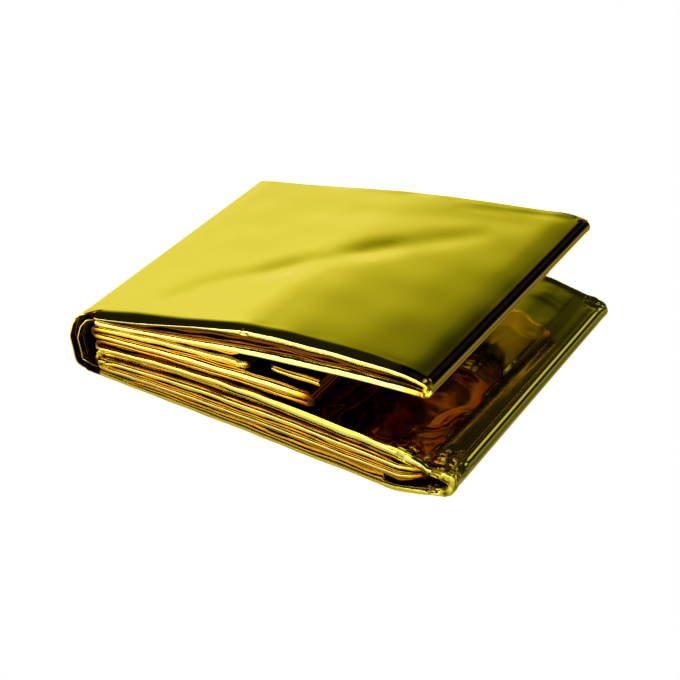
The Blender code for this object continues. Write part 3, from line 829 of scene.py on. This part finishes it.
# Painted shade: the lining's underside darkens towards the back between these depths.
UNDERSIDE_FADE_Y = (5.0, 18.0)
PANEL_RIPPLE_Y = (-45.0, -10.0, 15.0)
PANEL_RIPPLE = (1.2, 0.9, 0.25)
INNER_RIPPLE = 0.7
CALM_STRETCHES = ("cover", "open_turn", "edge", "floor", "outer_spine")
# How far in from an edge the faces start, and how far in they still swell towards it.
FACE_GAP = 0.12
FLARE = 2.4
BACK_EDGE_SCALE = 0.8


def film_middle(rows, spans, front_y, y):
    """The middle of the film at these places across its depth, and its normal."""
    y = y + np.zeros((len(rows), 1))
    share = (y - front_y) / (DEPTH / 2 - front_y)
    x_front, z_front, x_back, z_back = rows.T[:4, :, None]
    x = x_front + (x_back - x_front) * share
    z = z_front + (z_back - z_front) * share
    cover = spans["cover"]
    relief = cover_relief(x[cover], y[cover])
    z[cover] += relief
    turn = spans["open_turn"]
    fade = np.cos(np.linspace(0, np.pi / 2, turn.stop - turn.start + 2)[1:-1, None])
    z[turn] += relief[-1:] * fade
    along_x = np.gradient(x, axis=0)
    upright = np.clip(along_x / np.hypot(along_x, np.gradient(z, axis=0)), 0, 1)
    panel = slice(spans["panel"].start, spans["edge"].stop)
    z[panel] += panel_relief(x[panel], y[panel]) * upright[panel]
    along_z = np.gradient(z, axis=0)
    length = np.hypot(along_x, along_z)
    normal = np.stack([-along_z / length, np.zeros_like(x), along_x / length], axis=-1)
    return np.stack([x, y, z], axis=-1), normal


def strip_points():
    """Rings of points round the strip, with their tints of painted shade and highlight, ripples,
    streaks and rims.
    """
    rows, spans = strip_stations()
    column(rows, "x_back")[:] = SPINE_X + (column(rows, "x_back") - SPINE_X) * BACK_STRETCH
    front_y = -DEPTH / 2 + column(rows, "inset")[:, None]
    back_y = np.full_like(front_y, DEPTH / 2)
    half = column(rows, "half")[:, None]
    heights, depths, outline_tints = outlines(rows)
    back_heights, back_depths = heights.copy(), depths * BACK_EDGE_SCALE
    spine, first = spans["outer_spine"], spans["cover"].start
    share = np.interp(np.arange(STATIONS["outer_spine"]), BACK_CORNER, (0, 1))[:, None]
    for shape in (back_heights, back_depths):
        shape[spine] += share * (shape[first] - shape[spine])
    steps = np.array(EDGE_STEPS)
    evenly = np.linspace(0, 1, MIDDLE_COLUMNS + 2)[1:-1]

    def face(index, sign):
        """One face of the film, at the heights that meet the edges' outlines."""
        start = front_y + depths[:, [index]] + FACE_GAP
        end = back_y - back_depths[:, [index]] - FACE_GAP
        middle = start + steps[-1] + (end - start - 2 * steps[-1]) * evenly
        y = np.concatenate([start + steps, middle, end - steps[::-1]], axis=1)
        places, normal = film_middle(rows, spans, front_y, y)
        tall_front = sign * heights[:, [index]] - half
        tall_back = sign * back_heights[:, [index]] - half
        height = half + tall_front * eased((y - start) / FLARE)
        height = height + tall_back * eased((end - y) / FLARE)
        return places + sign * normal * height[..., None]

    def edge(y, edge_heights):
        """One edge of the film."""
        places, normal = film_middle(rows, spans, front_y, y)
        return places + normal * edge_heights[..., None]

    def round_ring(upper, edges, lower):
        """The values of the upper face, the back edge, the lower face and the front edge."""
        return np.concatenate([upper, edges, lower, edges[:, ::-1]], axis=1)

    upper = face(0, 1)
    lower = face(-1, -1)
    front = edge(front_y + depths, heights)
    back = edge(back_y - back_depths, back_heights)
    rings = np.concatenate([upper, back, lower[:, ::-1], front[:, ::-1]], axis=1)
    rings[..., 0] -= FOOTPRINT_MIDDLE_X

    flat = np.ones(upper.shape[:2])
    panel = slice(spans["panel"].start, spans["edge"].stop)
    # Painted shade on the upper faces: the wedge's shade fades on the panel, and the lining's
    # underside darkens towards the back.
    tints = column(rows, "upper_tint")[:, None] * flat
    fade = np.interp(upper[panel, :, 1], PANEL_FADE_Y, PANEL_FADE)
    tints[panel] *= 1 - fade * np.interp(upper[panel, :, 0], PANEL_FADE_X, (0, 1))
    under = spans["lining"]
    fade = np.interp(upper[under, :, 1], UNDERSIDE_FADE_Y, (0, 1))
    behind = np.interp(upper[under, :, 0], WEDGE_X, LINING_BACK_SHADE)
    behind = np.where(upper[under, :, 0] < WEDGE_X[0], tints[under], behind)
    tints[under] += (behind - tints[under]) * fade
    tints = round_ring(tints, outline_tints, column(rows, "lower_tint")[:, None] * flat)

    ripples = INNER_RIPPLE * flat
    for name in CALM_STRETCHES:
        ripples[spans[name]] = 0.0
    ripples[panel] *= np.interp(upper[panel, :, 1], PANEL_RIPPLE_Y, PANEL_RIPPLE)
    ripples = round_ring(ripples, np.zeros_like(heights), INNER_RIPPLE * flat)
    streaks = np.ones_like(heights)
    streaks[spans["cover"], :UPPER_POINTS] = 0.0
    rims = np.zeros_like(tints)
    for name in ("outer_spine", "inner_spine"):
        streaks[spans[name]] = 0.0
        rims[spans[name]] = 1.0
    streaks = round_ring(0.0 * flat, streaks, 0.0 * flat)
    return rings, tints, ripples, streaks, rims


# --- Crumpled places ---

# Where the film is crumpled into facets: the middle, the reach, how steeply the facets lean,
# their size, and the way they are pushed.
Crumple = namedtuple("Crumple", "x y z reach lean facet push")
CRUMPLES = table(
    Crumple,
    (58, -49.5, 36.5, 2.8, 0.6, 1.5, (0.4, -0.8, 0)),
    (64, -46, 12.5, 8, 1, 3.4, (0.6, -0.5, 0.6)),
    (51, -49, 14, 5.5, 0.7, 1.8, (0, -0.8, 0.6)),
    (61, -48.5, 6, 6, 0.6, 2.4, (0.4, -0.8, 0.3)),
    (-54, -49, 6.8, 5.5, 0.8, 1.8, (-0.2, -0.9, 0.3)),
    (-62, -48.5, 19, 3.6, 0.5, 1.8, (-0.5, -0.7, 0.2)),
    (-61, -48, 1.5, 4.5, 0.5, 2.2, (-0.6, -0.7, -0.2)),
    (-0.5, -49.2, 35, 1.8, 0.35, 1.2, (0, -0.7, 0.2)),
    (-2, -49, 23, 2.6, 0.6, 1.2, (0, -0.9, 0.3)),
    (64.5, 48, 12, 5, 0.25, 4, (0.6, 0.5, 0.6)),
    (-61, 47, 11, 9, 0.45, 2.6, (-0.6, 0.7, 0.2)),
    (56, 48, 38, 4, 0.45, 2.2, (0.5, 0.7, 0.2)),
)
# Where a corner of the film is pulled out to a point.
Ear = namedtuple("Ear", "x y z reach push")
EARS = table(
    Ear,
    (63.6, -47.5, 12.2, 4.6, (1.2, -0.9, 1.6)),
    (59.5, -49, 12.6, 3.6, (-0.4, -1.4, 0.9)),
)
# How much of a crumple has its full depth, and how its cells' leans are drawn.
CRUMPLE_CORE = 1.6
CELL_SHIFT = 7.31
CELL_LEAN = 1.6
EAR_SHARE = 0.5
# Crumpled film has deeper painted shade lifted to this tint, and keeps edges sharper than this
# angle sharp.
KNOT_SHADE = 0.2
SHARP_ANGLE = 38.0
SHARP_SHARE = 0.3


def crumpled(points):
    """The points pushed into facets where the film is crumpled, and how crumpled they are."""
    flat = points.reshape(-1, 3)
    moved = flat.copy()
    amount = np.zeros(len(flat))

    def distance(row):
        return np.linalg.norm(flat - (row.x - FOOTPRINT_MIDDLE_X, row.y, row.z), axis=1)

    for row in CRUMPLES:
        away = distance(row)
        for index in np.nonzero(away < row.reach)[0]:
            share = min(1.0, CRUMPLE_CORE * eased(away[index] / row.reach))
            place = Vector(flat[index]) / row.facet
            seed = noise.voronoi(place)[1][0]
            lean = noise.noise_vector(seed * CELL_SHIFT) * CELL_LEAN
            lift = row.lean * row.facet * lean.dot(place - seed)
            moved[index] += share * lift * np.array(row.push)
            amount[index] = max(amount[index], share)
    for row in EARS:
        share = 1 - np.minimum(1, distance(row) / row.reach)
        moved += share[:, None] * np.array(row.push)
        amount = np.maximum(amount, np.where(share > 0, EAR_SHARE, 0))
    return moved.reshape(points.shape), amount.reshape(points.shape[:2])


def soften_calm_edges(mesh):
    """Keeps sharp edges only where the film is crumpled, and on the rims round the spine."""
    folds = np.empty(len(mesh.vertices), np.float32)
    mesh.attributes["crisp"].data.foreach_get("value", folds)
    ends = np.empty(2 * len(mesh.edges), np.int32)
    mesh.edges.foreach_get("vertices", ends)
    sharp = np.empty(len(mesh.edges), bool)
    mesh.attributes["sharp_edge"].data.foreach_get("value", sharp)
    sharp &= folds[ends.reshape(-1, 2)].min(axis=1) > SHARP_SHARE
    mesh.attributes["sharp_edge"].data.foreach_set("value", sharp)


def linked(name, data):
    """A new object in the scene."""
    made = bpy.data.objects.new(name, data)
    bpy.context.scene.collection.objects.link(made)
    return made


def finished(name, bm):
    """A new object in the scene, with the mesh that has been shaped."""
    mesh = bpy.data.meshes.new(name)
    bm.to_mesh(mesh)
    bm.free()
    return linked(name, mesh)


def build_film():
    """The whole folded strip as one closed mesh, with its tint of painted shade and highlight
    stored on the points.
    """
    rings, tints, ripples, streaks, rims = strip_points()
    rings, folds = crumpled(rings)
    # Where the film is crumpled its deeper painted shade is lifted towards the knot's tint,
    # except on the spine's rims.
    lit = (tints > KNOT_SHADE) & (rims == 0)
    tints = np.where(lit, tints + (KNOT_SHADE - tints) * eased(1 - folds), tints)
    rings[..., 2] = np.maximum(rings[..., 2], 0.0)
    count, around = rings.shape[:2]
    rings = np.concatenate([rings, rings[:, :1]], axis=1) * MM
    crisp = np.maximum(rims, folds)
    values = {"painted_light_tint": tints, "ripple": ripples, "streak": streaks, "facet": folds, "crisp": crisp}
    bm = bmesh.new()
    bmesh.ops.create_grid(bm, x_segments=around, y_segments=count - 1, size=0.5)
    for vertex, place in zip(bm.verts, rings.reshape(-1, 3)):
        vertex.co = place
    for name, value in values.items():
        layer = bm.verts.layers.float.new(name)
        closed = np.concatenate([value, value[:, :1]], axis=1).reshape(-1)
        for vertex, number in zip(bm.verts, closed):
            vertex[layer] = number
    bmesh.ops.remove_doubles(bm, verts=bm.verts, dist=WELD)
    open_edges = [edge for edge in bm.edges if edge.is_boundary]
    bmesh.ops.holes_fill(bm, edges=open_edges, sides=0)
    bmesh.ops.recalc_face_normals(bm, faces=bm.faces)
    film = finished("foil_blanket_film", bm)
    film.data.shade_smooth()
    film.data.set_sharp_from_angle(angle=np.radians(SHARP_ANGLE))
    soften_calm_edges(film.data)
    return film


# --- Materials ---

# The colour for each tint: at 0 the film's own gold, below it a paler painted highlight, above it
# painted shade in amber, brown, near black and dim olive.
GOLD_AND_PAINTED_LIGHT = (
    (-0.2, (0.98, 0.93, 0.34)),
    (0.0, (0.95, 0.82, 0.06)),
    (0.45, (0.90, 0.52, 0.03)),
    (0.8, (0.36, 0.10, 0.006)),
    (1.0, (0.009, 0.005, 0.001)),
    (1.25, (0.32, 0.21, 0.008)),
)
EDGE_GOLD = (1.0, 0.91, 0.68, 1.0)
FILM_ROUGHNESS = (0.07, 0.12)
MIRROR_BOUNCES = 8
ROUGHNESS_SCALE = 160.0
ROUGHNESS_SPREAD = (0.3, 0.7)
FACET_SCALE = 300.0
FACET_LEAN = 0.7
FACET_BEND = 0.0006
RIPPLE_SCALE = 62.0
RIPPLE_HEIGHT = 0.0016
RIPPLE_LOOK = {"Detail": 1.2, "Distortion": 1.0}
STREAK_SCALE = (35.0, 160.0, 900.0)
STREAK_HEIGHT = 0.0001


def add_node(tree, kind, *values, **named):
    """A new node, whose inputs take values or outputs in order or by name, and its settings."""
    node = tree.nodes.new("ShaderNode" + kind)
    fed = list(zip(node.inputs, values))
    for name, value in named.items():
        if name in node.inputs:
            fed.append((node.inputs[name], value))
        else:
            setattr(node, name, value)
    for socket, value in fed:
        if isinstance(value, bpy.types.NodeSocket):
            tree.links.new(value, socket)
        else:
            socket.default_value = value
    return node


def math(tree, operation, *values):
    """The output of a Math node on outputs or numbers."""
    return add_node(tree, "Math", *values, operation=operation).outputs["Value"]


def vector(tree, operation, *values, output="Vector", **named):
    """An output of a Vector Math node on outputs or vectors."""
    return add_node(tree, "VectorMath", *values, operation=operation, **named).outputs[output]


def mapped(tree, value, from_range, to_range=(0.0, 1.0), kind="SMOOTHSTEP"):
    """The output of a Map Range node."""
    values = (value, *from_range, *to_range)
    return add_node(tree, "MapRange", *values, interpolation_type=kind).outputs["Result"]


def ramp(tree, value, stops):
    """The output of a colour ramp with these (position, colour) stops."""
    node = add_node(tree, "ValToRGB", value)
    elements = node.color_ramp.elements
    while len(elements) < len(stops):
        elements.new(0.5)
    for element, (position, colour) in zip(elements, stops):
        element.position = position
        element.color = colour
    return node.outputs["Color"]


def attribute(tree, name):
    """The output of a value stored on the mesh."""
    return add_node(tree, "Attribute", attribute_name=name).outputs["Fac"]


def relief(tree, texture, size, name):
    """A noise that swings about 0 over this size, where the named attribute lets it."""
    swing = math(tree, "SUBTRACT", texture.outputs["Fac"], 0.5)
    swing = math(tree, "MULTIPLY", swing, size)
    return math(tree, "MULTIPLY", swing, attribute(tree, name))


def facets(tree, place):
    """A height that leans a different way in each cell, as crumpled film does."""
    cells = add_node(tree, "TexVoronoi", place, Scale=FACET_SCALE)
    lean = vector(tree, "SUBTRACT", cells.outputs["Color"], (0.5, 0.5, 0.5))
    offset = vector(tree, "SUBTRACT", place, cells.outputs["Position"])
    height = vector(tree, "DOT_PRODUCT", lean, offset, output="Value")
    height = math(tree, "MULTIPLY", height, FACET_LEAN)
    return math(tree, "MULTIPLY", height, attribute(tree, "facet"))


def gold_film():
    """Gold metallised film, with painted shade that makes it browner and darker deep in the
    folds, a painted highlight on the rolls, and facets where it is crumpled.
    """
    material = bpy.data.materials.new("gold_film")
    material.use_nodes = True
    tree = material.node_tree
    shader = tree.nodes["Principled BSDF"]
    shader.inputs["Metallic"].default_value = 1.0
    shader.inputs["Specular Tint"].default_value = EDGE_GOLD
    first, last = GOLD_AND_PAINTED_LIGHT[0][0], GOLD_AND_PAINTED_LIGHT[-1][0]
    stops = [((tint - first) / (last - first), (*gold, 1.0)) for tint, gold in GOLD_AND_PAINTED_LIGHT]
    # Painted light: the stored tint picks the film's own gold, a painted highlight or painted
    # shade.
    depth = mapped(tree, attribute(tree, "painted_light_tint"), (first, last), kind="LINEAR")
    tree.links.new(ramp(tree, depth, stops), shader.inputs["Base Color"])

    place = add_node(tree, "TexCoord").outputs["Object"]
    cloud = add_node(tree, "TexNoise", place, Scale=ROUGHNESS_SCALE)
    roughness = mapped(tree, cloud.outputs["Fac"], ROUGHNESS_SPREAD, FILM_ROUGHNESS)
    tree.links.new(roughness, shader.inputs["Roughness"])

    bend = vector(tree, "SCALE", cloud.outputs["Color"], Scale=FACET_BEND)
    height = facets(tree, vector(tree, "ADD", place, bend))
    waves = add_node(tree, "TexNoise", place, Scale=RIPPLE_SCALE, **RIPPLE_LOOK)
    height = math(tree, "ADD", height, relief(tree, waves, RIPPLE_HEIGHT, "ripple"))
    stretch = add_node(tree, "Mapping", place, Scale=STREAK_SCALE)
    plies = add_node(tree, "TexNoise", stretch.outputs["Vector"], Scale=1.0)
    height = math(tree, "ADD", height, relief(tree, plies, STREAK_HEIGHT, "streak"))
    bump = add_node(tree, "Bump", Distance=1.0, Height=height)
    tree.links.new(bump.outputs["Normal"], shader.inputs["Normal"])
    return material


# --- Studio ---

# How bright the white floor glows in the film's reflections, by the distance from the pad in
# metres: a painted shadow darkens it close to the pad. It also falls off on the open side, which
# faces away from the lamps, as painted shadow.
FLOOR_SIZE = 8.0
FLOOR_DROP = 0.0001
FLOOR_RAMP = ((0.0, 0.45), (0.010, 0.80), (0.030, 2.0), (0.07, 2.8), (0.25, 3.0), (0.70, 1.5))
FLOOR_BRIGHTEST = 3.0
FLOOR_SIDE = (0.055, 0.078)
FLOOR_SIDE_SHARE = 0.08
PAD_HALF = (0.064, 0.049, 0.0)

# How bright the backdrop is, by the sine of the height above the horizon, with its colour:
# it is white low down and turns warm and dark higher up.
BACKDROP_RAMP = (
    (0.00, 0.84, 1.00),
    (0.20, 0.82, 0.90),
    (0.28, 0.67, 0.65),
    (0.34, 0.53, 0.38),
    (0.44, 0.33, 0.15),
    (0.50, 0.20, 0.10),
    (0.575, 0.145, 0.10),
    (0.66, 0.025, 0.10),
    (0.72, 0.00, 0.10),
)
# The lamps light the backdrop behind on the left, and more weakly in front on the right.
KEY_TOWARDS = -36.0
KEY_EDGES = (37.0, 19.0)
FILL_TOWARDS = 125.0
FILL_EDGES = (75.0, 35.0)
FILL_SHARE = 0.6
# A small lamp behind on the right: the way it stands round and up, its edges and strength.
SIDE_LAMP = (29.0, 38.5)
SIDE_LAMP_EDGES = (17.0, 6.0)
SIDE_LAMP_STRENGTH = 0.55
OVERHEAD_EDGES = (0.945, 0.985)
OVERHEAD_STRENGTH = 0.9
DIM = 0.012
# Stands in for 1 where the level part of a direction is found, so that it is never 0.
JUST_PAST_ONE = 1.0001


def white_floor():
    """The plain pale floor, a glow: evenly white to the eye, and in its reflection darker close
    to the pad and on the open side, as a painted shadow.
    """
    bm = bmesh.new()
    bmesh.ops.create_grid(bm, x_segments=1, y_segments=1, size=FLOOR_SIZE / 2)
    floor = finished("floor", bm)
    floor.location.z = -FLOOR_DROP
    material = bpy.data.materials.new("white_floor")
    material.use_nodes = True
    tree = material.node_tree
    tree.nodes.clear()
    place = add_node(tree, "TexCoord").outputs["Object"]
    outside = vector(tree, "SUBTRACT", vector(tree, "ABSOLUTE", place), PAD_HALF)
    positive = vector(tree, "MAXIMUM", outside)
    distance = vector(tree, "LENGTH", positive, output="Value")
    # Painted shadow: the glow seen in reflections is dimmed near the pad and on its open side.
    stops = [(at, (*[glow / FLOOR_BRIGHTEST] * 3, 1.0)) for at, glow in FLOOR_RAMP]
    split = add_node(tree, "SeparateXYZ", place)
    dimmed = (FLOOR_BRIGHTEST, FLOOR_BRIGHTEST * FLOOR_SIDE_SHARE)
    side = mapped(tree, split.outputs["X"], FLOOR_SIDE, dimmed)
    reflected_with_painted_shadow = add_node(tree, "Emission", ramp(tree, distance, stops), side)
    seen = add_node(tree, "Emission")
    ray = add_node(tree, "LightPath").outputs["Is Camera Ray"]
    mix = add_node(tree, "MixShader", ray, reflected_with_painted_shadow.outputs[0], seen.outputs[0])
    add_node(tree, "OutputMaterial", mix.outputs[0])
    floor.data.materials.append(material)


def sector(tree, direction, height, towards, edges):
    """How much of a lamp falls on the backdrop in each direction, round the compass."""
    angle = np.radians(towards)
    way = (np.sin(angle), np.cos(angle), 0.0)
    ahead = vector(tree, "DOT_PRODUCT", direction, way, output="Value")
    squared = math(tree, "MULTIPLY", height, height)
    level = math(tree, "SQRT", math(tree, "SUBTRACT", JUST_PAST_ONE, squared))
    share = math(tree, "DIVIDE", ahead, level)
    return mapped(tree, share, np.cos(np.radians(edges)))


def studio_world():
    """A backdrop lit softly from behind on the left, in an otherwise dark room."""
    world = bpy.data.worlds.new("studio")
    bpy.context.scene.world = world
    world.use_nodes = True
    tree = world.node_tree
    direction = add_node(tree, "TexCoord").outputs["Generated"]
    height = add_node(tree, "SeparateXYZ", direction).outputs["Z"]
    key = sector(tree, direction, height, KEY_TOWARDS, KEY_EDGES)
    fill = sector(tree, direction, height, FILL_TOWARDS, FILL_EDGES)
    lamps = math(tree, "ADD", key, math(tree, "MULTIPLY", fill, FILL_SHARE))
    stops = [(at, (glow, glow, glow * blue, 1.0)) for at, glow, blue in BACKDROP_RAMP]
    lit = vector(tree, "SCALE", ramp(tree, height, stops), Scale=lamps)
    overhead = mapped(tree, height, OVERHEAD_EDGES, (DIM, OVERHEAD_STRENGTH))
    turn, rise = np.radians(SIDE_LAMP)
    way = (np.sin(turn) * np.cos(rise), np.cos(turn) * np.cos(rise), np.sin(rise))
    ahead = vector(tree, "DOT_PRODUCT", direction, way, output="Value")
    edges = np.cos(np.radians(SIDE_LAMP_EDGES))
    side_lamp = mapped(tree, ahead, edges, (0.0, SIDE_LAMP_STRENGTH))
    total = vector(tree, "ADD", lit, math(tree, "ADD", overhead, side_lamp))
    tree.links.new(total, tree.nodes["Background"].inputs["Color"])


# --- Camera ---

CAMERA_AZIMUTH = 31.61
CAMERA_ELEVATION = 35.11
CAMERA_ROLL = -0.22
CAMERA_DISTANCE = 486.4
CAMERA_SLIDE = (-0.11, 3.2)
CAMERA_TARGET_X = -0.5
CAMERA_LENS = 83.2
CAMERA_SENSOR = 36.0
CAMERA_NEAR = 0.01


def camera():
    """A camera that looks down at the pad's front corner."""
    azimuth, elevation, roll = np.radians([CAMERA_AZIMUTH, CAMERA_ELEVATION, CAMERA_ROLL])
    level = np.cos(elevation)
    back = Vector((np.sin(azimuth) * level, -np.cos(azimuth) * level, np.sin(elevation)))
    right = Vector((np.cos(azimuth), np.sin(azimuth), 0.0))
    up = back.cross(right)
    sine, cosine = np.sin(roll), np.cos(roll)
    right, up = right * cosine + up * sine, up * cosine - right * sine
    place = Vector((CAMERA_TARGET_X, 0, 0)) + back * CAMERA_DISTANCE
    place += right * CAMERA_SLIDE[0] + up * CAMERA_SLIDE[1]
    turned = Matrix((right, up, back)).transposed().to_4x4()
    made = linked("camera", bpy.data.cameras.new("camera"))
    made.data.lens = CAMERA_LENS
    made.data.sensor_width = CAMERA_SENSOR
    made.data.clip_start = CAMERA_NEAR
    made.matrix_world = Matrix.Translation(place * MM) @ turned
    bpy.context.scene.camera = made


film = build_film()
film.data.materials.append(gold_film())
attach(film, "root")
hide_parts("foil_blanket")
white_floor()
studio_world()
camera()
bpy.context.scene.view_settings.view_transform = "Standard"
bpy.context.scene.cycles.glossy_bounces = MIRROR_BOUNCES
